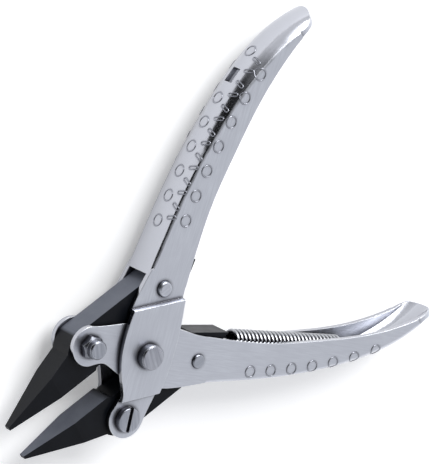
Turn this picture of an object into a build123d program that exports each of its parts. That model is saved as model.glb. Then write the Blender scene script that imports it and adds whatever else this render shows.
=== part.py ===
"""Parallel-action flat nose pliers, in the open position.

X runs from the jaw tips (-X) to the handle ends (+X), Y from the lower handle to the upper one, and Z
along the pivot. The origin lies on the pivot axis, on the outer face of the lower main rivet head.

The two handles are one pressing used twice, and so are the two jaws: each lower piece is its upper twin
turned half a turn about the tool's long axis. Every handle carries the pivot of the far jaw at its front
and a pin that slides in the tail slot of the near jaw, which keeps the two gripping faces parallel.
"""
import os
from math import atan2, cos, hypot, radians, sin, sqrt

from build123d import *

# ---- linkage ----
pin_radius = 17.6            # from the main pivot to each of the four pins
open_angle = 44.4            # between the long axis and a handle's line of pins, open
closed_angle = 26.6          # the same, with the gripping faces together
half_gap = pin_radius * (sin(radians(open_angle)) - sin(radians(closed_angle)))
slot_travel = 2 * pin_radius * (cos(radians(closed_angle)) - cos(radians(open_angle)))

# ---- sheet and layers, measured from the middle plane ----
sheet = 1.4
inner_level = 3.7            # inside face of the cheeks
layer_gap = 0.1              # running clearance between the nested cheeks
raised_level = inner_level + sheet + layer_gap
cheek_face = inner_level + sheet
plate_face = raised_level + sheet
rivet_head_height = 2.4
mid_height = plate_face + layer_gap / 2 + rivet_head_height
reach = 110                  # further than any piece reaches, for the shapes that cut right through

# ---- handle ----
lug_radius = 5.3
crease_angle = -26.0         # direction of both creases in a handle's raised cheek
rear_crease = 12.8           # distance of each crease's upper edge from the pivot
front_crease = -11.2
crease_run = 0.2             # length of the slope between the two levels
crease_wall = 0.7            # the sheet's thickness across that slope, thinned by the pressing
outer_rounding = 0.9         # of the channel's corners
inner_rounding = 0.3
tab_width = 2.6
tab_thickness = 1.2
tab_front = 71.3             # along the handle
tab_tip = -11.0
tab_root = 0.4               # how far below the outside of the spine the tab starts
anchor_hole = (4.4, 2.9)     # length and width of the hole that the tab is bent out of
tongue_width = 16.0
tongue_round = 5.8           # radius of the rounded end
tongue_centre = (92, 1.2)    # along the handle, and past that along the spine

# ---- jaws ----
jaw_half = 3.6               # half the thickness
tip_half = 0.95
jaw_tip = -40.5
jaw_back = 16.7
tip_back = 5.3
nose_top = (-18.6, 13.45)    # upper end of the nose's straight back
back_start = -12.9
nose_bend = 7.0              # radius of the bend between them
taper_start = -25.2
grip_end = -13.6
throat_relief = 0.7
throat_end = 15.2            # where the relief turns out along the tail
tail_end = 24.7
tail_inside = 12.4
tail_corner = 1.5
slot_spare = 0.3             # free length at each end of the tail's slot
web_half = 1.0               # half the thickness of the web at the tail's end
web_corner = (21.5, 12.5)    # where the pockets beside the web start
hook_hole = (22.9, 14.2)
hook_hole_radius = 1.0

# ---- fasteners ----
fit = 0.05                   # radial running clearance
main_shank = 2.0
main_head = 3.35
main_flare = 2.7
flare_depth = 0.6
pin_shank = 1.6
large_head = (2.2, 1.0)      # radius and height
small_head = (1.95, 0.6)
head_rounding = 0.85         # share of a pin head's height that is rounded
screw_shank = 2.35           # shoulder that the jaw turns on
screw_head = 3.4
screw_head_height = 1.7
screw_thread = 1.7
thread_length = 3.0
screwdriver_slot = (1.1, 1.1)
slot_angle = 49.0
nut_flats = 5.6
nut_height = 2.1
nut_bevel = 4.4              # foot radius of the cone that bevels the nut's corners
nut_boss = (2.5, 1.8)        # radius and height of the nut's round closed end
edge_break = 0.35            # chamfer on turned edges

# ---- return spring ----
wire = 0.575                 # radius
coil_radius = 2.3            # to the middle of the wire
coil_turns = 28
coil_pitch = 1.32
hook_bend = 1.0
hook_offset = (-0.17, 0.24)  # keeps the hook inside its hole over the whole travel
parting = 0.02               # between the front hook and the coil
front_share = 0.43           # share of the straight wire that is at the front
front_return = 2.6           # how far each hook's end comes back along the spring
rear_return = 3.4
rear_hook = (tab_front + tab_thickness + wire, -8.9)

os.makedirs("parts", exist_ok=True)

# A handle's own axes: x along its line of pins, y outward to its spine, z from the middle plane up
handle_plane = Plane((0, 0, mid_height), x_dir=(cos(radians(open_angle)), sin(radians(open_angle)), 0))
mid_plane = Plane.XY.offset(mid_height)
turn_axis = Axis((0, 0, mid_height), (1, 0, 0))

spine_points = [(20.4, 6.25), (34, 4.4), (48, 1.95), (61.5, -1.05), (74.3, -5.6), (82, -9.35), (89, -14.05),
                (94, -18.6), (97, -23.0)]
inner_edge_points = [(15, -6.8), (31, -6.8), (43, -7.6), (54, -9.5), (65, -11.65), (75, -14.3), (83, -17.3),
                     (90, -20.9), (94, -24.1)]
outer_cheek_points = [(-16.6, 5.2), (-14.4, 4.35), (-11.8, 4.0), (-10.4, 4.5), (-6.6, 6.3), (-1.7, 8.0),
                      (5, 8.65), (11, 8.15), (17, 6.85), (22, 5.5)]
inner_cheek_points = [(15, -6.8), (7, -7.8), (0, -8.0), (-8.6, -7.2), (-14.6, -5.85), (-18.2, -5.27)]
cheek_joint = (22, -6.5)     # the cheek plates end here, inside the channel's sides

# Stations along the spine: share of its length, half width, height of the spine's crown, depth of the sides
stations = [(0.0, 5.1, 0.4, 17.0), (0.2, 5.1, 0.8, 14.5), (0.4, 5.2, 1.5, 12.5), (0.6, 5.5, 2.4, 11.0),
            (0.8, 5.9, 3.0, 9.5), (1.0, 6.0, 3.3, 8.0)]

with BuildLine(Plane.XY) as spine_line:
    Spline(*spine_points)
spine_edge = spine_line.edges()[0]


def spine_plane(share):
    """The plane across the spine at a share of its length: x along the pivot, y outward."""
    point = handle_plane.from_local_coords(spine_edge.position_at(share))
    ahead = handle_plane.from_local_coords(spine_edge.position_at(share) + spine_edge.tangent_at(share))
    return Plane(point, x_dir=(0, 0, -1), z_dir=ahead - point)


def spine_share(distance):
    """The share of the spine at a distance along the handle's own x axis."""
    low, high = 0.0, 1.0
    while high - low > 1e-4:
        middle = (low + high) / 2
        if spine_edge.position_at(middle).X < distance:
            low = middle
        else:
            high = middle
    return low


def spine_height(distance):
    """How far out the spine is at a distance along the handle."""
    return spine_edge.position_at(spine_share(distance)).Y


def channel_solid(inset, rounding):
    """The handle's channel with its crowned spine as a filled solid, drawn in by an inset all round."""
    with BuildPart() as solid:
        for share, half_width, crown, depth in stations:
            radius = (half_width**2 + crown**2) / (2 * crown) - inset
            side = half_width - inset
            edge = sqrt(radius**2 - side**2) - radius - inset
            with BuildSketch(spine_plane(share)) as section:
                with BuildLine():
                    Polyline((-side, edge), (-side, -depth), (side, -depth), (side, edge))
                    ThreePointArc((-side, edge), (0, -inset), (side, edge))
                make_face()
                fillet(section.vertices().sort_by(Axis.Y)[-2:], rounding)
        loft()
    return solid.part


channel_outer = channel_solid(0, outer_rounding)
channel_inner = channel_solid(sheet, inner_rounding)


def on_spine(distance):
    """The plane that lies on the spine at a distance along the handle: x along the spine, z outward."""
    across = spine_plane(spine_share(distance))
    return Plane(across.origin, x_dir=across.z_dir, z_dir=across.y_dir)


def cheek_plate(low, high):
    """A flat cheek's front part between two heights above the middle plane."""
    with BuildPart() as plate:
        with BuildSketch(handle_plane.offset(low)):
            with BuildLine():
                Spline(*outer_cheek_points)
                Line(outer_cheek_points[-1], cheek_joint)
                Line(cheek_joint, inner_cheek_points[0])
                Spline(*inner_cheek_points)
                ThreePointArc(inner_cheek_points[-1], (-pin_radius - lug_radius, 0), outer_cheek_points[0])
            make_face()
        extrude(amount=high - low)
    return plate.part


# The raised cheek's folded strip, across its two creases
crease = radians(crease_angle)
crease_line = (cos(crease), sin(crease), 0)
crease_plane = Plane((0, 0, mid_height), x_dir=(-sin(crease), cos(crease), 0), z_dir=crease_line)
fold_shift = crease_wall - crease_run
with BuildPart() as folded_strip:
    with BuildSketch(crease_plane):
        with BuildLine():
            Polyline(
                (reach, inner_level),
                (rear_crease + crease_run - fold_shift, inner_level),
                (rear_crease - fold_shift, raised_level),
                (front_crease + fold_shift, raised_level),
                (front_crease - crease_run + fold_shift, inner_level),
                (-reach, inner_level),
                (-reach, cheek_face),
                (front_crease - crease_run, cheek_face),
                (front_crease, plate_face),
                (rear_crease, plate_face),
                (rear_crease + crease_run, cheek_face),
                (reach, cheek_face),
                close=True,
            )
        make_face()
    extrude(amount=reach, both=True)

raised_cheek = cheek_plate(inner_level, plate_face) & folded_strip.part
flat_cheek = cheek_plate(-cheek_face, -inner_level)

# What the cheeks' inner edges and the rounded rear end leave of the channel
with BuildPart() as channel_region:
    with BuildSketch(handle_plane):
        with BuildLine():
            Spline(*inner_edge_points)
            Polyline(
                inner_edge_points[-1],
                (reach, inner_edge_points[-1][1]),
                (reach, reach),
                (inner_edge_points[0][0], reach),
                inner_edge_points[0],
            )
        make_face()
    extrude(amount=mid_height, both=True)
with BuildPart() as tongue_region:
    with BuildSketch(on_spine(tongue_centre[0])):
        with Locations((-reach, 0)):
            Rectangle(2 * reach, tongue_width)
        with Locations((tongue_centre[1], 0)):
            Circle(tongue_round)
    extrude(amount=reach, both=True)


def turned(piece):
    """A piece's twin, half a turn about the tool's long axis."""
    return piece.rotate(turn_axis, 180)


def save(piece, label):
    """Name one finished piece and write it."""
    piece.label = label
    export_step(piece, f"parts/{label}.step")


# ---- handles ----
with BuildPart() as handle:
    add(channel_outer)
    add(channel_inner, mode=Mode.SUBTRACT)
    add(channel_region.part, mode=Mode.INTERSECT)
    add(tongue_region.part, mode=Mode.INTERSECT)
    add(raised_cheek)
    add(flat_cheek)
    with BuildSketch(on_spine(tab_front + tab_thickness + anchor_hole[0] / 2)):
        Rectangle(*anchor_hole)
    extrude(amount=2 * sheet, both=True, mode=Mode.SUBTRACT)
    with BuildSketch(handle_plane.offset(-tab_width / 2)):
        with BuildLine():
            Polyline(
                (tab_front, spine_height(tab_front) - tab_root),
                (tab_front, tab_tip),
                (tab_front + tab_thickness, tab_tip),
                (tab_front + tab_thickness, spine_height(tab_front + tab_thickness) - tab_root),
                close=True,
            )
        make_face()
    extrude(amount=tab_width)
    with BuildSketch(handle_plane):
        with Locations((-pin_radius, 0)):
            Circle(screw_shank)
        with Locations((pin_radius, 0)):
            Circle(pin_shank)
        Circle(main_shank + fit)
    extrude(amount=reach, both=True, mode=Mode.SUBTRACT)
    with BuildSketch(mid_plane.offset(-inner_level)):
        Circle(main_flare + fit)
    with BuildSketch(mid_plane.offset(-inner_level - flare_depth)):
        Circle(main_shank + fit)
    loft(mode=Mode.SUBTRACT)
save(handle.part, "upper_handle")
save(turned(handle.part), "lower_handle")

# ---- jaws ----
open_pin = (pin_radius * cos(radians(open_angle)), pin_radius * sin(radians(open_angle)))
with BuildPart() as jaw:
    with BuildSketch(mid_plane.offset(-jaw_half)):
        with BuildLine():
            Polyline(
                (jaw_tip, half_gap),
                (grip_end, half_gap),
                (grip_end + throat_relief, half_gap + throat_relief),
                (throat_end, half_gap + throat_relief),
                (tail_end, tail_inside),
                (tail_end, jaw_back - tail_corner),
                (tail_end - tail_corner, jaw_back),
                (back_start, jaw_back),
            )
            RadiusArc((back_start, jaw_back), nose_top, -nose_bend)
            Polyline(nose_top, (jaw_tip, tip_back), (jaw_tip, half_gap))
        make_face()
    extrude(amount=2 * jaw_half)
    with BuildSketch(Plane((0, 0, mid_height), x_dir=(1, 0, 0), z_dir=(0, -1, 0))):
        with BuildLine():
            Polyline(
                (jaw_tip, tip_half),
                (taper_start, jaw_half),
                (reach, jaw_half),
                (reach, -jaw_half),
                (taper_start, -jaw_half),
                (jaw_tip, -tip_half),
                close=True,
            )
        make_face()
    extrude(amount=reach, both=True, mode=Mode.INTERSECT)
    # side pockets that leave a thin web at the tail's end, for the spring's hook
    for low in (-jaw_half, web_half):
        with BuildSketch(mid_plane.offset(low)):
            with Locations(web_corner):
                Rectangle(reach, reach, align=(Align.MIN, Align.MIN))
        extrude(amount=jaw_half - web_half, mode=Mode.SUBTRACT)
    with BuildSketch(mid_plane):
        with Locations((-open_pin[0], open_pin[1])):
            Circle(screw_shank + fit)
        with Locations((open_pin[0] + slot_travel / 2, open_pin[1])):
            SlotCenterToCenter(slot_travel + 2 * slot_spare, 2 * (pin_shank + fit))
        with Locations(hook_hole):
            Circle(hook_hole_radius)
    extrude(amount=reach, both=True, mode=Mode.SUBTRACT)
save(jaw.part, "upper_jaw")
save(turned(jaw.part), "lower_jaw")

# ---- main rivets ----
with BuildPart() as main_rivet:
    with BuildSketch(mid_plane.offset(inner_level)):
        Circle(main_shank)
    extrude(amount=plate_face + layer_gap / 2 - inner_level)
    with BuildSketch(mid_plane.offset(inner_level)):
        Circle(main_flare)
    with BuildSketch(mid_plane.offset(inner_level + flare_depth)):
        Circle(main_shank)
    loft()
    with BuildSketch(mid_plane.offset(plate_face + layer_gap / 2)):
        Circle(main_head)
    extrude(amount=rivet_head_height)
    chamfer(main_rivet.edges().sort_by(Axis.Z)[-1], edge_break)
save(main_rivet.part, "main_rivet_near")
save(turned(main_rivet.part), "main_rivet_far")

# ---- slot pins: a large formed head on one side, a small one on the other ----
slot_pin_plane = Plane((*open_pin, mid_height), z_dir=(0, 0, 1))
with BuildPart() as slot_pin:
    with BuildSketch(slot_pin_plane.offset(-cheek_face)):
        Circle(pin_shank)
    extrude(amount=2 * cheek_face)
    for side, (radius, height) in ((1, large_head), (-1, small_head)):
        with BuildSketch(slot_pin_plane.offset(side * cheek_face)):
            Circle(radius)
        extrude(amount=side * height)
        rim = slot_pin.edges().filter_by(GeomType.CIRCLE).sort_by(Axis.Z)[-1 if side > 0 else 0]
        fillet(rim, height * head_rounding)
save(slot_pin.part, "upper_slot_pin")
save(turned(slot_pin.part), "lower_slot_pin")

# ---- jaw screws and their closed nuts: the lower jaw's screw head is on the near side ----
screw_plane = Plane((-open_pin[0], -open_pin[1], mid_height), z_dir=(0, 0, 1))
with BuildPart() as jaw_screw:
    with BuildSketch(screw_plane.offset(-cheek_face - thread_length)):
        Circle(screw_thread)
    extrude(amount=thread_length)
    chamfer(jaw_screw.edges().sort_by(Axis.Z)[0], edge_break)
    with BuildSketch(screw_plane.offset(-cheek_face)):
        Circle(screw_shank)
    extrude(amount=2 * cheek_face)
    with BuildSketch(screw_plane.offset(cheek_face)):
        Circle(screw_head)
    extrude(amount=screw_head_height)
    fillet(jaw_screw.edges().filter_by(GeomType.CIRCLE).sort_by(Axis.Z)[-1], edge_break)
    with BuildSketch(screw_plane.offset(cheek_face + screw_head_height - screwdriver_slot[1])):
        Rectangle(reach, screwdriver_slot[0], rotation=slot_angle)
    extrude(amount=screwdriver_slot[1], mode=Mode.SUBTRACT)
save(jaw_screw.part, "lower_jaw_screw")
save(turned(jaw_screw.part), "upper_jaw_screw")

nut_corner = nut_flats / 2 / cos(radians(30))
with BuildPart() as jaw_nut:
    with BuildSketch(screw_plane.offset(-cheek_face)):
        RegularPolygon(nut_corner, 6, rotation=slot_angle)
    extrude(amount=-nut_height)
    with BuildSketch(screw_plane.offset(-cheek_face)):
        Circle(nut_bevel)
    with BuildSketch(screw_plane.offset(-cheek_face - nut_height)):
        Circle(nut_boss[0])
    loft(mode=Mode.INTERSECT)
    with BuildSketch(screw_plane.offset(-cheek_face - nut_height)):
        Circle(nut_boss[0])
    extrude(amount=-nut_boss[1])
    chamfer(jaw_nut.edges().sort_by(Axis.Z)[0], edge_break)
    with BuildSketch(screw_plane.offset(-cheek_face)):
        Circle(screw_thread)
    extrude(amount=-thread_length, mode=Mode.SUBTRACT)
save(jaw_nut.part, "lower_jaw_nut")
save(turned(jaw_nut.part), "upper_jaw_nut")

# ---- return spring, drawn in the upper handle's axes and turned into the lower handle ----
hook_start = Vector(hook_hole[0] + hook_offset[0], hook_hole[1] + hook_offset[1], mid_height)
hook_point = handle_plane.to_local_coords(hook_start)
spring_tilt = atan2(rear_hook[1] - hook_point.Y, rear_hook[0] - hook_point.X)
spring_length = hypot(rear_hook[0] - hook_point.X, rear_hook[1] - hook_point.Y)
coil_length = coil_turns * coil_pitch
front_gap = (spring_length - coil_length) * front_share
line_angle = radians(open_angle) + spring_tilt
line_direction = Vector(cos(line_angle), sin(line_angle), 0)
# x along the spring from the jaw's hole, y along the pivot
hook_plane = Plane(hook_start, x_dir=line_direction, z_dir=line_direction.cross(Vector(0, 0, 1)))
coil_start = hook_start + line_direction * front_gap
coil_plane = Plane(coil_start, x_dir=(0, 0, 1), z_dir=line_direction)


def hook(points, start):
    """A hook of round wire bent along a route of points."""
    with BuildPart() as bent:
        with BuildLine(hook_plane):
            FilletPolyline(*points, radius=hook_bend)
        with BuildSketch(Plane(hook_plane.from_local_coords(Vector(*points[0])), z_dir=start)):
            Circle(wire)
        sweep(transition=Transition.RIGHT)
    return bent.part


front_route = [(front_gap - parting, coil_radius), (0, coil_radius), (0, -coil_radius),
               (front_return, -coil_radius)]
rear_route = [(front_gap + coil_length, coil_radius), (spring_length, coil_radius),
              (spring_length, -coil_radius), (spring_length - rear_return, -coil_radius)]
front_hook = hook(front_route, -line_direction)
rear_hook_wire = hook(rear_route, line_direction)
with BuildPart() as coil:
    with BuildLine():
        turns = Helix(coil_pitch, coil_length, coil_radius)
    with BuildSketch(Plane(turns @ 0, z_dir=turns % 0)):
        Circle(wire)
    sweep(is_frenet=True)
with BuildPart() as spring:
    add(coil_plane.location * coil.part)
    add(rear_hook_wire)
save(turned(spring.part), "return_spring")
save(turned(front_hook), "return_spring_hook")
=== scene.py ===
"""Parallel-action flat nose pliers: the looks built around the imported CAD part.

Lengths are in metres, in the CAD frame: X to the handle ends, Y from the lower handle to the upper one,
Z along the pivot. The tool lies open on a pale floor, and both handles carry an embossed grip pattern.
"""
from math import cos, pi, radians, sin

import bmesh
import bpy
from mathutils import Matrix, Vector
from mathutils.bvhtree import BVHTree


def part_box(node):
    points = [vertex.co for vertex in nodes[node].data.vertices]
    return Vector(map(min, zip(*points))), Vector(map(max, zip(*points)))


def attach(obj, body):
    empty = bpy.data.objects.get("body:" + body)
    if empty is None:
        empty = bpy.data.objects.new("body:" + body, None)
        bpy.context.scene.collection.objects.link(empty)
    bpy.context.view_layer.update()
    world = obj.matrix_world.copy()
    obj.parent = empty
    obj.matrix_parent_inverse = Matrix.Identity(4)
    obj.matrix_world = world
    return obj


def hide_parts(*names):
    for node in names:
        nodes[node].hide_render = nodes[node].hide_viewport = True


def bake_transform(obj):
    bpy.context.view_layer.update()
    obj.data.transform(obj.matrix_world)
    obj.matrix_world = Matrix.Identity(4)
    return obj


MM = 0.001

# ---- embossed grip pattern, in a handle's own axes: along its line of pins, and out towards its spine ----
RING_PITCH = 6.83 * MM
RING_RADIUS = 1.55 * MM
RING_POINTS = 32
SPINE_RINGS = 8
SPINE_RING_START = 34.0 * MM
ANCHOR_RING = 6                             # the spring's anchor hole takes this ring's place on the spine
ANCHOR_HALF_WIDTH = 1.8 * MM                # just past the side of that hole
CHEEK_RINGS = 7
CHEEK_RING_START = 35.85 * MM
RAISED_CHEEK_DEPTHS = (4.6 * MM, 3.3 * MM)  # of the first and last ring's ray, below the top of the spine
FLAT_CHEEK_DEPTHS = (3.0 * MM, 2.7 * MM)
DASH_STEP = 3.0 * MM                        # from the first dash of a pair to the second
DASH_SIZE = (2.5 * MM, 0.85 * MM)
DASH_TILTS = (radians(17), radians(-30))
DASH_DEPTH = 4.5 * MM                       # where the rays that place the dashes aim, below the spine
DASH_ARC_STEPS = 6
LINE_WIDTH = 0.34 * MM
LINE_HEIGHT = 0.15 * MM
LINE_SIDES = 8                              # of a line's section
LINE_STEP = 0.3 * MM                        # between points along a dash's straight sides
SPINE_RAY_START = 40 * MM                   # out from the line of pins
SKIN_RAY_START = 20 * MM                    # back from the point that it aims for
LINE_RAY_START = 3 * MM                     # above the skin

# ---- finishes: scales of noise are per metre, and a fade goes from its first value to its second ----
RUBBED = (0.86, 0.88, 0.92)                 # steel's worn edges
PAINTED_SHADE = (0.09, 0.09, 0.105)                 # painted shade in steel's hollows, corners and crevices
STEEL_EDGE = 0.25 * MM
EDGE_SAMPLES = 6
EDGE_WEAR_FADE = (0.75, 0.98)               # how like its rounded normal a surface faces, worn and unworn
STEEL_HOLLOW_SHADE = (                           # painted shade in hollows: how far around, and the openness with full and with no painted shade
    (8 * MM, 0.35, 0.8),
    (1 * MM, 0.55, 0.97),
)
HOLLOW_SAMPLES = 8
FLAT_FACE_FADE = (0.6, 0.95)                # how far a steel face turns to Z, from a side to a flat one; the sides get a darker colour as painted shade
CLOUD_SCALE, SMUDGE_SCALE, WAVE_SCALE = 90, 260, 120
CLOUD_SHARES = (0.3, 1)
SMUDGE_SHARES = (0.8, 1.25)
WAVE_BUMP, WAVE_DEPTH = 0.04, 0.4 * MM
GRAIN_STRETCH = (14, 1, 1)
GRAIN_FADE = (0.35, 0.65)
FINE_DEPTH = 0.05 * MM                      # of grain, marks and specks
CHROME_LIGHT = (0.70, 0.725, 0.785)
CHROME_DARK = (0.62, 0.64, 0.70)
# the chrome's sides, the spine among them, painted darker as shade
CHROME_SHADED_SIDE = (0.46, 0.47, 0.51)
CHROME_ROUGHNESS = 0.38
SPINE_ROUGHNESS = 0.16
JAW_BLACKS = ((0.003, 0.0037, 0.0055), (0.006, 0.007, 0.010))
# lighter greys on the jaw faces turned to Y: painted sheen of reflected light
JAW_SHEEN_GREYS = ((0.085, 0.093, 0.118), (0.115, 0.125, 0.150))
JAW_RUBBED = (0.05, 0.054, 0.065)
JAW_RUBBED_SHARES = (0.2, 0.9)
JAW_EDGE = 0.15 * MM
JAW_SPECULAR = 0.16
JAW_ROUGHNESS = (0.30, 0.46)
JAW_CLOUD_SCALE, JAW_MARK_SCALE, JAW_SPECK_SCALE = 150, 1800, 1500
JAW_MARK_STRETCH = (18, 1, 1)
JAW_MARK_BUMP, JAW_SPECK_BUMP = 0.12, 0.08
SHEEN_FACE_FADE = (0.96, 0.99)             # how far a jaw's face turns to Y, from a black one to one with painted sheen
GRIP_FADE = (-15.5 * MM, -13.6 * MM)        # in X, where the painted sheen on the gripping faces ends
BACK_FADE = (14.5 * MM, 15.5 * MM)          # off the middle in Y, where the painted sheen on the backs starts

# ---- floor, light and camera ----
FLOOR_REACH = 4.0
FLOOR_DROP = 0.02 * MM
FLOOR_COLOURS = ((0.93, 0.935, 0.94), (0.95, 0.95, 0.955))
FLOOR_GLOW = 0.3
FLOOR_SPECULAR = 0.1
FLOOR_ROUGHNESS = (0.55, 0.7)
FLOOR_SCALE = 3
HORIZON_LIGHT = (1.05, 1.06, 1.08)
OVERHEAD_LIGHT = (0.74, 0.75, 0.78)
LIGHT_FADE = (0.15, 0.65)                   # in height, from the horizon's light to the one overhead
DIM_PATCHES = (                             # direction, half angles of the middle and of the edge, share
    ((0.12, -0.02, 0.99), 12, 30, 0.95),
    ((-0.20, 0.52, 0.83), 20, 36, 0.97),
    ((-0.46, 0.83, 0.30), 20, 35, 0.98),
)
KEY_PLACE = (0.95, 0.75, 0.9)
KEY_SIZE = 1.0
KEY_POWER = 22
CAMERA_PLACE = (-236.09 * MM, 404.43 * MM, 581.78 * MM)
CAMERA_TURN = (radians(-18.597), radians(-35.754), radians(-25.401))
CAMERA_LENS = 222.1
CAMERA_SENSOR = 36

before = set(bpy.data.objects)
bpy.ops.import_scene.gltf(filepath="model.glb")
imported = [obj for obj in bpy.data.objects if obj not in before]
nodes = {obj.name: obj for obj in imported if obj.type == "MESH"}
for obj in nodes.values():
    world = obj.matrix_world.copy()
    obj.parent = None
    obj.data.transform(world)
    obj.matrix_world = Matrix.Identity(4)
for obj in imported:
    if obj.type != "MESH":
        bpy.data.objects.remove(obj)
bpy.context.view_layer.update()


def node_centre(name):
    """The middle of a CAD node's box."""
    low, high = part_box(name)
    return (low + high) / 2


# ---------------------------------------------------------------- materials

def shader_nodes(name):
    """A new node material, its tree and its Principled shader."""
    material = bpy.data.materials.new(name)
    material.use_nodes = True
    return material, material.node_tree, material.node_tree.nodes["Principled BSDF"]


def noise(tree, scale, detail, turn=0.0, stretch=(1, 1, 1)):
    """Procedural noise in object coordinates, turned about Z and stretched."""
    place = tree.nodes.new("ShaderNodeTexCoord")
    mapping = tree.nodes.new("ShaderNodeMapping")
    mapping.vector_type = "TEXTURE"
    mapping.inputs["Rotation"].default_value = (0, 0, turn)
    mapping.inputs["Scale"].default_value = stretch
    made = tree.nodes.new("ShaderNodeTexNoise")
    made.inputs["Scale"].default_value = scale
    made.inputs["Detail"].default_value = detail
    tree.links.new(place.outputs["Object"], mapping.inputs["Vector"])
    tree.links.new(mapping.outputs["Vector"], made.inputs["Vector"])
    return made.outputs["Fac"]


def ranged(tree, source, low, high, start=0.3, end=0.7):
    """The source's values between start and end, spread over low to high."""
    spread = tree.nodes.new("ShaderNodeMapRange")
    spread.inputs["From Min"].default_value = start
    spread.inputs["From Max"].default_value = end
    spread.inputs["To Min"].default_value = low
    spread.inputs["To Max"].default_value = high
    tree.links.new(source, spread.inputs["Value"])
    return spread.outputs["Result"]


def blended_colour(tree, share, first, second):
    """A colour that goes from the first to the second with a share. Each is a colour or a socket."""
    mix = tree.nodes.new("ShaderNodeMix")
    mix.data_type = "RGBA"
    tree.links.new(share, mix.inputs["Factor"])
    for socket, source in (("A", first), ("B", second)):
        if isinstance(source, tuple):
            mix.inputs[socket].default_value = (*source, 1)
        else:
            tree.links.new(source, mix.inputs[socket])
    return mix.outputs["Result"]


def combined(tree, operation, first, second):
    """Two values put together by a maths node."""
    maths = tree.nodes.new("ShaderNodeMath")
    maths.operation = operation
    tree.links.new(first, maths.inputs[0])
    tree.links.new(second, maths.inputs[1])
    return maths.outputs["Value"]


def object_parts(tree, output, absolute=False):
    """The X, Y and Z sockets of a place or normal in object coordinates."""
    source = tree.nodes.new("ShaderNodeTexCoord").outputs[output]
    if absolute:
        positive = tree.nodes.new("ShaderNodeVectorMath")
        positive.operation = "ABSOLUTE"
        tree.links.new(source, positive.inputs[0])
        source = positive.outputs["Vector"]
    parts = tree.nodes.new("ShaderNodeSeparateXYZ")
    tree.links.new(source, parts.inputs["Vector"])
    return parts.outputs


def rounded_edges(tree, shader, width):
    """Round the shading over the edges, and give how near to an edge the surface is, as a share."""
    rounded = tree.nodes.new("ShaderNodeBevel")
    rounded.samples = EDGE_SAMPLES
    rounded.inputs["Radius"].default_value = width
    facing = tree.nodes.new("ShaderNodeNewGeometry")
    likeness = tree.nodes.new("ShaderNodeVectorMath")
    likeness.operation = "DOT_PRODUCT"
    tree.links.new(rounded.outputs["Normal"], likeness.inputs[0])
    tree.links.new(facing.outputs["Normal"], likeness.inputs[1])
    tree.links.new(rounded.outputs["Normal"], shader.inputs["Normal"])
    return ranged(tree, likeness.outputs["Value"], 1, 0, *EDGE_WEAR_FADE)


def painted_hollow_shade(tree, colour, distance, fully_shaded_at, unshaded_at):
    """A colour that turns to painted shade where surfaces within a distance leave it little openness."""
    occlusion = tree.nodes.new("ShaderNodeAmbientOcclusion")
    occlusion.samples = HOLLOW_SAMPLES
    occlusion.inputs["Distance"].default_value = distance
    unshaded = ranged(tree, occlusion.outputs["AO"], 0, 1, fully_shaded_at, unshaded_at)
    return blended_colour(tree, unshaded, PAINTED_SHADE, colour)


def add_bump(tree, shader, source, strength, distance):
    """Bump from one noise, on top of the normal that the shader already has."""
    bump = tree.nodes.new("ShaderNodeBump")
    bump.inputs["Strength"].default_value = strength
    bump.inputs["Distance"].default_value = distance
    tree.links.new(source, bump.inputs["Height"])
    for link in shader.inputs["Normal"].links:
        tree.links.new(link.from_socket, bump.inputs["Normal"])
    tree.links.new(bump.outputs["Normal"], shader.inputs["Normal"])


def steel(name, light, dark, roughness, side, grain_turn=0.0, grain=0.05, grain_scale=2400,
          side_roughness=0.25):
    """Bare or plated steel: cloudy, unevenly glossy, finely grained along one direction and softly rippled.

    Its edges are rubbed bright, and its corners and hollows are painted darker as shade. Its sides, off the
    flat faces across Z, have a roughness of their own and a darker colour of their own that is painted shade.
    """
    material, tree, shader = shader_nodes(name)
    shader.inputs["Metallic"].default_value = 1.0
    clouds = noise(tree, CLOUD_SCALE, 4)
    smudges = noise(tree, SMUDGE_SCALE, 6)
    scratches = noise(tree, grain_scale, 3, grain_turn, GRAIN_STRETCH)
    waves = noise(tree, WAVE_SCALE, 1)
    streaks = ranged(tree, scratches, 0, 1, *GRAIN_FADE)
    evenness = combined(tree, "MULTIPLY", ranged(tree, clouds, *CLOUD_SHARES), streaks)
    colour = blended_colour(tree, evenness, dark, light)
    flat = ranged(tree, object_parts(tree, "Normal", absolute=True)["Z"], 0, 1, *FLAT_FACE_FADE)
    # painted shade: the sides take the darker side colour
    colour = blended_colour(tree, flat, side, colour)
    near_edge = rounded_edges(tree, shader, STEEL_EDGE)
    colour = blended_colour(tree, near_edge, colour, RUBBED)
    # painted shade: darker where nearby surfaces leave little openness, in hollows and at the feet of steps
    # and heads
    for distance, fully_shaded_at, unshaded_at in STEEL_HOLLOW_SHADE:
        colour = painted_hollow_shade(tree, colour, distance, fully_shaded_at, unshaded_at)
    tree.links.new(colour, shader.inputs["Base Color"])
    unevenness = ranged(tree, smudges, *SMUDGE_SHARES)
    gloss = ranged(tree, flat, side_roughness, roughness, 0, 1)
    tree.links.new(combined(tree, "MULTIPLY", gloss, unevenness), shader.inputs["Roughness"])
    add_bump(tree, shader, waves, WAVE_BUMP, WAVE_DEPTH)
    add_bump(tree, shader, scratches, grain, FINE_DEPTH)
    return material


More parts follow.
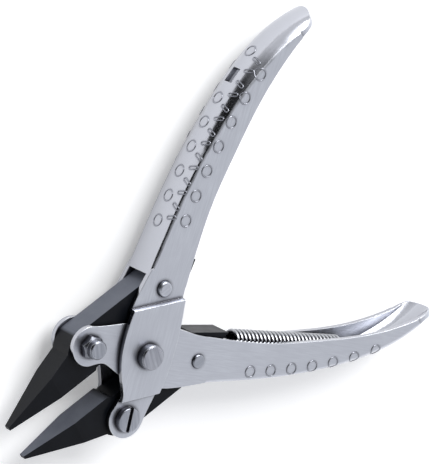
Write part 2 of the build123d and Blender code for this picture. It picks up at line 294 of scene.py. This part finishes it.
def blackened_steel(name):
    """The jaws' black finish, rubbed at the edges, with a lighter grey painted on the backs and gripping
    faces as sheen.
    """
    material, tree, shader = shader_nodes(name)
    shader.inputs["Metallic"].default_value = 0.0
    shader.inputs["Specular IOR Level"].default_value = JAW_SPECULAR
    clouds = noise(tree, JAW_CLOUD_SCALE, 5)
    marks = noise(tree, JAW_MARK_SCALE, 3, stretch=JAW_MARK_STRETCH)
    specks = noise(tree, JAW_SPECK_SCALE, 2)
    flat = ranged(tree, object_parts(tree, "Normal", absolute=True)["Y"], 0, 1, *SHEEN_FACE_FADE)
    gripping = ranged(tree, object_parts(tree, "Object")["X"], 1, 0, *GRIP_FADE)
    back = ranged(tree, object_parts(tree, "Object", absolute=True)["Y"], 0, 1, *BACK_FADE)
    # painted sheen: faces turned to Y on the gripping faces and backs
    sheen_faces = combined(tree, "MULTIPLY", flat, combined(tree, "MAXIMUM", gripping, back))
    cloud_share = ranged(tree, clouds, 0, 1)
    black = blended_colour(tree, cloud_share, *JAW_BLACKS)
    sheen_grey = blended_colour(tree, cloud_share, *JAW_SHEEN_GREYS)
    colour = blended_colour(tree, sheen_faces, black, sheen_grey)
    near_edge = rounded_edges(tree, shader, JAW_EDGE)
    rubbed = combined(tree, "MULTIPLY", near_edge, ranged(tree, clouds, *JAW_RUBBED_SHARES))
    colour = blended_colour(tree, rubbed, colour, JAW_RUBBED)
    tree.links.new(colour, shader.inputs["Base Color"])
    tree.links.new(ranged(tree, clouds, *JAW_ROUGHNESS), shader.inputs["Roughness"])
    add_bump(tree, shader, specks, JAW_SPECK_BUMP, FINE_DEPTH)
    add_bump(tree, shader, marks, JAW_MARK_BUMP, FINE_DEPTH)
    return material


def floor_paint(name):
    """A plain pale floor, very slightly uneven."""
    material, tree, shader = shader_nodes(name)
    shader.inputs["Specular IOR Level"].default_value = FLOOR_SPECULAR
    unevenness = noise(tree, FLOOR_SCALE, 2)
    pale = blended_colour(tree, ranged(tree, unevenness, 0, 1), *FLOOR_COLOURS)
    tree.links.new(pale, shader.inputs["Base Color"])
    tree.links.new(pale, shader.inputs["Emission Color"])
    shader.inputs["Emission Strength"].default_value = FLOOR_GLOW
    tree.links.new(ranged(tree, unevenness, *FLOOR_ROUGHNESS), shader.inputs["Roughness"])
    return material


def set_material(obj, material):
    """Give an object this material alone."""
    obj.data.materials.clear()
    obj.data.materials.append(material)


# ---------------------------------------------------------------- embossed grip pattern

class Handle:
    """One handle's outer skin, and the axes that its grip pattern is laid out in."""

    def __init__(self, name, pin, out_side):
        node = nodes[name]
        self.name = name
        self.skin = BVHTree.FromPolygons([v.co for v in node.data.vertices],
                                         [p.vertices for p in node.data.polygons])
        middle = node_centre("upper_jaw").z
        to_pin = node_centre(pin)
        self.origin = Vector((0, 0, middle))
        self.along = Vector((to_pin.x, to_pin.y, 0)).normalized()
        self.out = Vector((-self.along.y, self.along.x, 0)) * out_side
        self.up = Vector((0, 0, 1))
        self.raised_side = out_side

    def spine_top(self, distance, aside=0.0):
        """The point and normal on the spine at a distance along the handle, and aside from its middle."""
        start = self.origin + self.along * distance + self.out * SPINE_RAY_START + self.up * aside
        point, normal, _, _ = self.skin.ray_cast(start, -self.out)
        return point, normal

    def seen_from(self, distance, depth, direction):
        """The point and normal that a ray reaches on its way to a point at a depth below the spine."""
        top = self.spine_top(distance, ANCHOR_HALF_WIDTH)[0]
        aim = top - self.out * depth - self.up * ANCHOR_HALF_WIDTH
        point, normal, _, _ = self.skin.ray_cast(aim + direction * SKIN_RAY_START, -direction)
        return point, normal


def ring_outline():
    """A circle, as points."""
    angles = [2 * pi * i / RING_POINTS for i in range(RING_POINTS)]
    return [(RING_RADIUS * cos(angle), RING_RADIUS * sin(angle)) for angle in angles]


def dash_outline(tilt):
    """A short slot shape with round ends, turned by a tilt, as points close enough to follow the skin."""
    length, width = DASH_SIZE
    straight = length - width
    straight_steps = round(straight / LINE_STEP)
    points = []
    for side in (1, -1):
        for i in range(DASH_ARC_STEPS + 1):
            angle = -pi / 2 + pi * i / DASH_ARC_STEPS
            points.append((side * (straight / 2 + width / 2 * cos(angle)), side * width / 2 * sin(angle)))
        for i in range(1, straight_steps):
            points.append((side * (straight / 2 - straight * i / straight_steps), side * width / 2))
    return [(x * cos(tilt) - y * sin(tilt), x * sin(tilt) + y * cos(tilt)) for x, y in points]


def emboss(mesh, handle, place, outline):
    """Lay a thin raised line on the handle's skin along a closed outline around a place."""
    centre, normal = place
    ahead = (handle.along - normal * handle.along.dot(normal)).normalized()
    across = normal.cross(ahead)
    if across.dot(handle.out) > 0:
        across = -across
    line = []
    for x, y in outline:
        start = centre + across * x + ahead * y + normal * LINE_RAY_START
        point, facing, _, _ = handle.skin.ray_cast(start, -normal)
        line.append((point, facing))
    loops = []
    for i, (point, facing) in enumerate(line):
        forward = (line[(i + 1) % len(line)][0] - line[i - 1][0]).normalized()
        sideways = forward.cross(facing).normalized()
        loop = []
        for k in range(LINE_SIDES):
            turn = 2 * pi * k / LINE_SIDES
            offset = sideways * LINE_WIDTH / 2 * cos(turn) + facing * LINE_HEIGHT * sin(turn)
            loop.append(mesh.verts.new(point + offset))
        loops.append(loop)
    for i, loop in enumerate(loops):
        following = loops[(i + 1) % len(loops)]
        for k in range(LINE_SIDES):
            after = (k + 1) % LINE_SIDES
            mesh.faces.new((loop[k], loop[after], following[after], following[k]))


def grip_pattern(handle, material):
    """The rings on the spine and both cheeks, and the dashes by the raised cheek's corner, as one mesh."""
    mesh = bmesh.new()
    for i in range(SPINE_RINGS):
        if i != ANCHOR_RING:
            place = handle.spine_top(SPINE_RING_START + i * RING_PITCH)
            emboss(mesh, handle, place, ring_outline())
    for side in (1, -1):
        sideways = handle.up * side
        slanting = (handle.out + sideways).normalized()
        raised = side == handle.raised_side
        first, last = RAISED_CHEEK_DEPTHS if raised else FLAT_CHEEK_DEPTHS
        for i in range(CHEEK_RINGS):
            distance = CHEEK_RING_START + i * RING_PITCH
            depth = first + (last - first) * i / (CHEEK_RINGS - 1)
            place = handle.seen_from(distance, depth, sideways)
            emboss(mesh, handle, place, ring_outline())
            for step, tilt in enumerate(DASH_TILTS if raised else ()):
                place = handle.seen_from(distance + step * DASH_STEP, DASH_DEPTH, slanting)
                emboss(mesh, handle, place, dash_outline(tilt))
    bmesh.ops.recalc_face_normals(mesh, faces=mesh.faces)
    data = bpy.data.meshes.new(f"{handle.name}_pattern")
    mesh.to_mesh(data)
    mesh.free()
    data.shade_smooth()
    pattern = bpy.data.objects.new(f"{handle.name}_pattern", data)
    bpy.context.scene.collection.objects.link(pattern)
    set_material(pattern, material)
    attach(pattern, handle.name)


# ---------------------------------------------------------------- return spring

def stretching_spring(material):
    """The spring's coil as a piece of its own: a copy of the CAD spring's mesh, with the CAD spring hidden.
    """
    rigid = nodes["return_spring"]
    coil = bpy.data.objects.new("spring_coil", rigid.data.copy())
    bpy.context.scene.collection.objects.link(coil)
    set_material(coil, material)
    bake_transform(coil)
    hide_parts("return_spring")


# ---------------------------------------------------------------- finishes

upper = Handle("upper_handle", "upper_slot_pin", 1)
lower = Handle("lower_handle", "lower_slot_pin", -1)
upper_grain = upper.along.to_2d().angle_signed(Vector((1, 0)))
lower_grain = lower.along.to_2d().angle_signed(Vector((1, 0)))

# each finish's side colour is painted shade on the faces turned away from Z
upper_chrome = steel("upper_handle_chrome", CHROME_LIGHT, CHROME_DARK, CHROME_ROUGHNESS, CHROME_SHADED_SIDE,
                     upper_grain, side_roughness=SPINE_ROUGHNESS)
lower_chrome = steel("lower_handle_chrome", CHROME_LIGHT, CHROME_DARK, CHROME_ROUGHNESS, CHROME_SHADED_SIDE,
                     lower_grain, side_roughness=SPINE_ROUGHNESS)
# the embossed lines are painted darker than the chrome that they stand on, as the shade of a groove
shaded_line_steel = steel("embossed_line_steel", light=(0.44, 0.45, 0.50), dark=(0.34, 0.35, 0.39),
                   roughness=0.3, side=(0.30, 0.31, 0.35))
rivet_steel = steel("rivet_steel", light=(0.72, 0.74, 0.80), dark=(0.36, 0.37, 0.42), roughness=0.32,
                    side=(0.13, 0.135, 0.155), grain_turn=radians(80), grain=0.8, grain_scale=1300)
pin_steel = steel("pin_steel", light=(0.68, 0.70, 0.76), dark=(0.54, 0.56, 0.62), roughness=0.28,
                  side=(0.14, 0.15, 0.17))
# a darker, rougher copy of the pin steel, for the lower slot pin
darker_pin_steel = steel("darker_pin_steel", light=(0.52, 0.54, 0.60), dark=(0.40, 0.42, 0.47), roughness=0.34,
                       side=(0.10, 0.105, 0.12))
screw_steel = steel("screw_steel", light=(0.56, 0.58, 0.64), dark=(0.36, 0.38, 0.43), roughness=0.32,
                    side=(0.11, 0.115, 0.135), grain_turn=radians(70), grain=0.4, grain_scale=1600)
spring_steel = steel("spring_steel", light=(0.70, 0.71, 0.73), dark=(0.60, 0.61, 0.64), roughness=0.22,
                     side=(0.42, 0.43, 0.45))
jaw_black = blackened_steel("jaw_black")

finishes = {
    "upper_handle": upper_chrome, "lower_handle": lower_chrome,
    "upper_jaw": jaw_black, "lower_jaw": jaw_black,
    "main_rivet_near": rivet_steel, "main_rivet_far": rivet_steel,
    "upper_slot_pin": pin_steel, "lower_slot_pin": darker_pin_steel,
    "upper_jaw_screw": screw_steel, "lower_jaw_screw": screw_steel,
    "upper_jaw_nut": screw_steel, "lower_jaw_nut": screw_steel,
    "return_spring": spring_steel, "return_spring_hook": spring_steel,
}
for node_name, finish in finishes.items():
    set_material(nodes[node_name], finish)

grip_pattern(upper, shaded_line_steel)
grip_pattern(lower, shaded_line_steel)
stretching_spring(spring_steel)

# ---------------------------------------------------------------- floor, light and camera

floor_data = bpy.data.meshes.new("floor")
corners = [(x * FLOOR_REACH, y * FLOOR_REACH, 0) for x, y in ((-1, -1), (1, -1), (1, 1), (-1, 1))]
floor_data.from_pydata(corners, [], [(0, 1, 2, 3)])
floor = bpy.data.objects.new("floor", floor_data)
floor.location.z = -FLOOR_DROP
bpy.context.scene.collection.objects.link(floor)
set_material(floor, floor_paint("floor_paint"))


def soft_surroundings():
    """An even studio light all round, brighter near the floor, with dim patches above and behind."""
    world = bpy.data.worlds.new("studio")
    world.use_nodes = True
    tree = world.node_tree
    direction = tree.nodes.new("ShaderNodeTexCoord").outputs["Generated"]
    height = tree.nodes.new("ShaderNodeSeparateXYZ")
    tree.links.new(direction, height.inputs["Vector"])
    upwards = ranged(tree, height.outputs["Z"], 0, 1, *LIGHT_FADE)
    light = blended_colour(tree, upwards, HORIZON_LIGHT, OVERHEAD_LIGHT)
    for towards, middle, edge, share in DIM_PATCHES:
        nearness = tree.nodes.new("ShaderNodeVectorMath")
        nearness.operation = "DOT_PRODUCT"
        nearness.inputs[1].default_value = Vector(towards).normalized()
        tree.links.new(direction, nearness.inputs[0])
        dim = ranged(tree, nearness.outputs["Value"], 0, share, cos(radians(edge)), cos(radians(middle)))
        light = blended_colour(tree, dim, light, (0.0, 0.0, 0.0))
    tree.links.new(light, tree.nodes["Background"].inputs["Color"])
    bpy.context.scene.world = world


def softbox(name, place, size, power):
    """A square area light that points at the tool."""
    lamp = bpy.data.lights.new(name, "AREA")
    lamp.size = size
    lamp.energy = power
    light = bpy.data.objects.new(name, lamp)
    light.location = place
    light.rotation_euler = (-Vector(place)).to_track_quat("-Z", "Y").to_euler()
    bpy.context.scene.collection.objects.link(light)


soft_surroundings()
softbox("key_softbox", KEY_PLACE, KEY_SIZE, KEY_POWER)

camera_data = bpy.data.cameras.new("camera")
camera_data.lens = CAMERA_LENS
camera_data.sensor_width = CAMERA_SENSOR
camera = bpy.data.objects.new("camera", camera_data)
camera.location = CAMERA_PLACE
camera.rotation_euler = CAMERA_TURN
bpy.context.scene.collection.objects.link(camera)
bpy.context.scene.camera = camera
bpy.context.scene.view_settings.view_transform = "Standard"
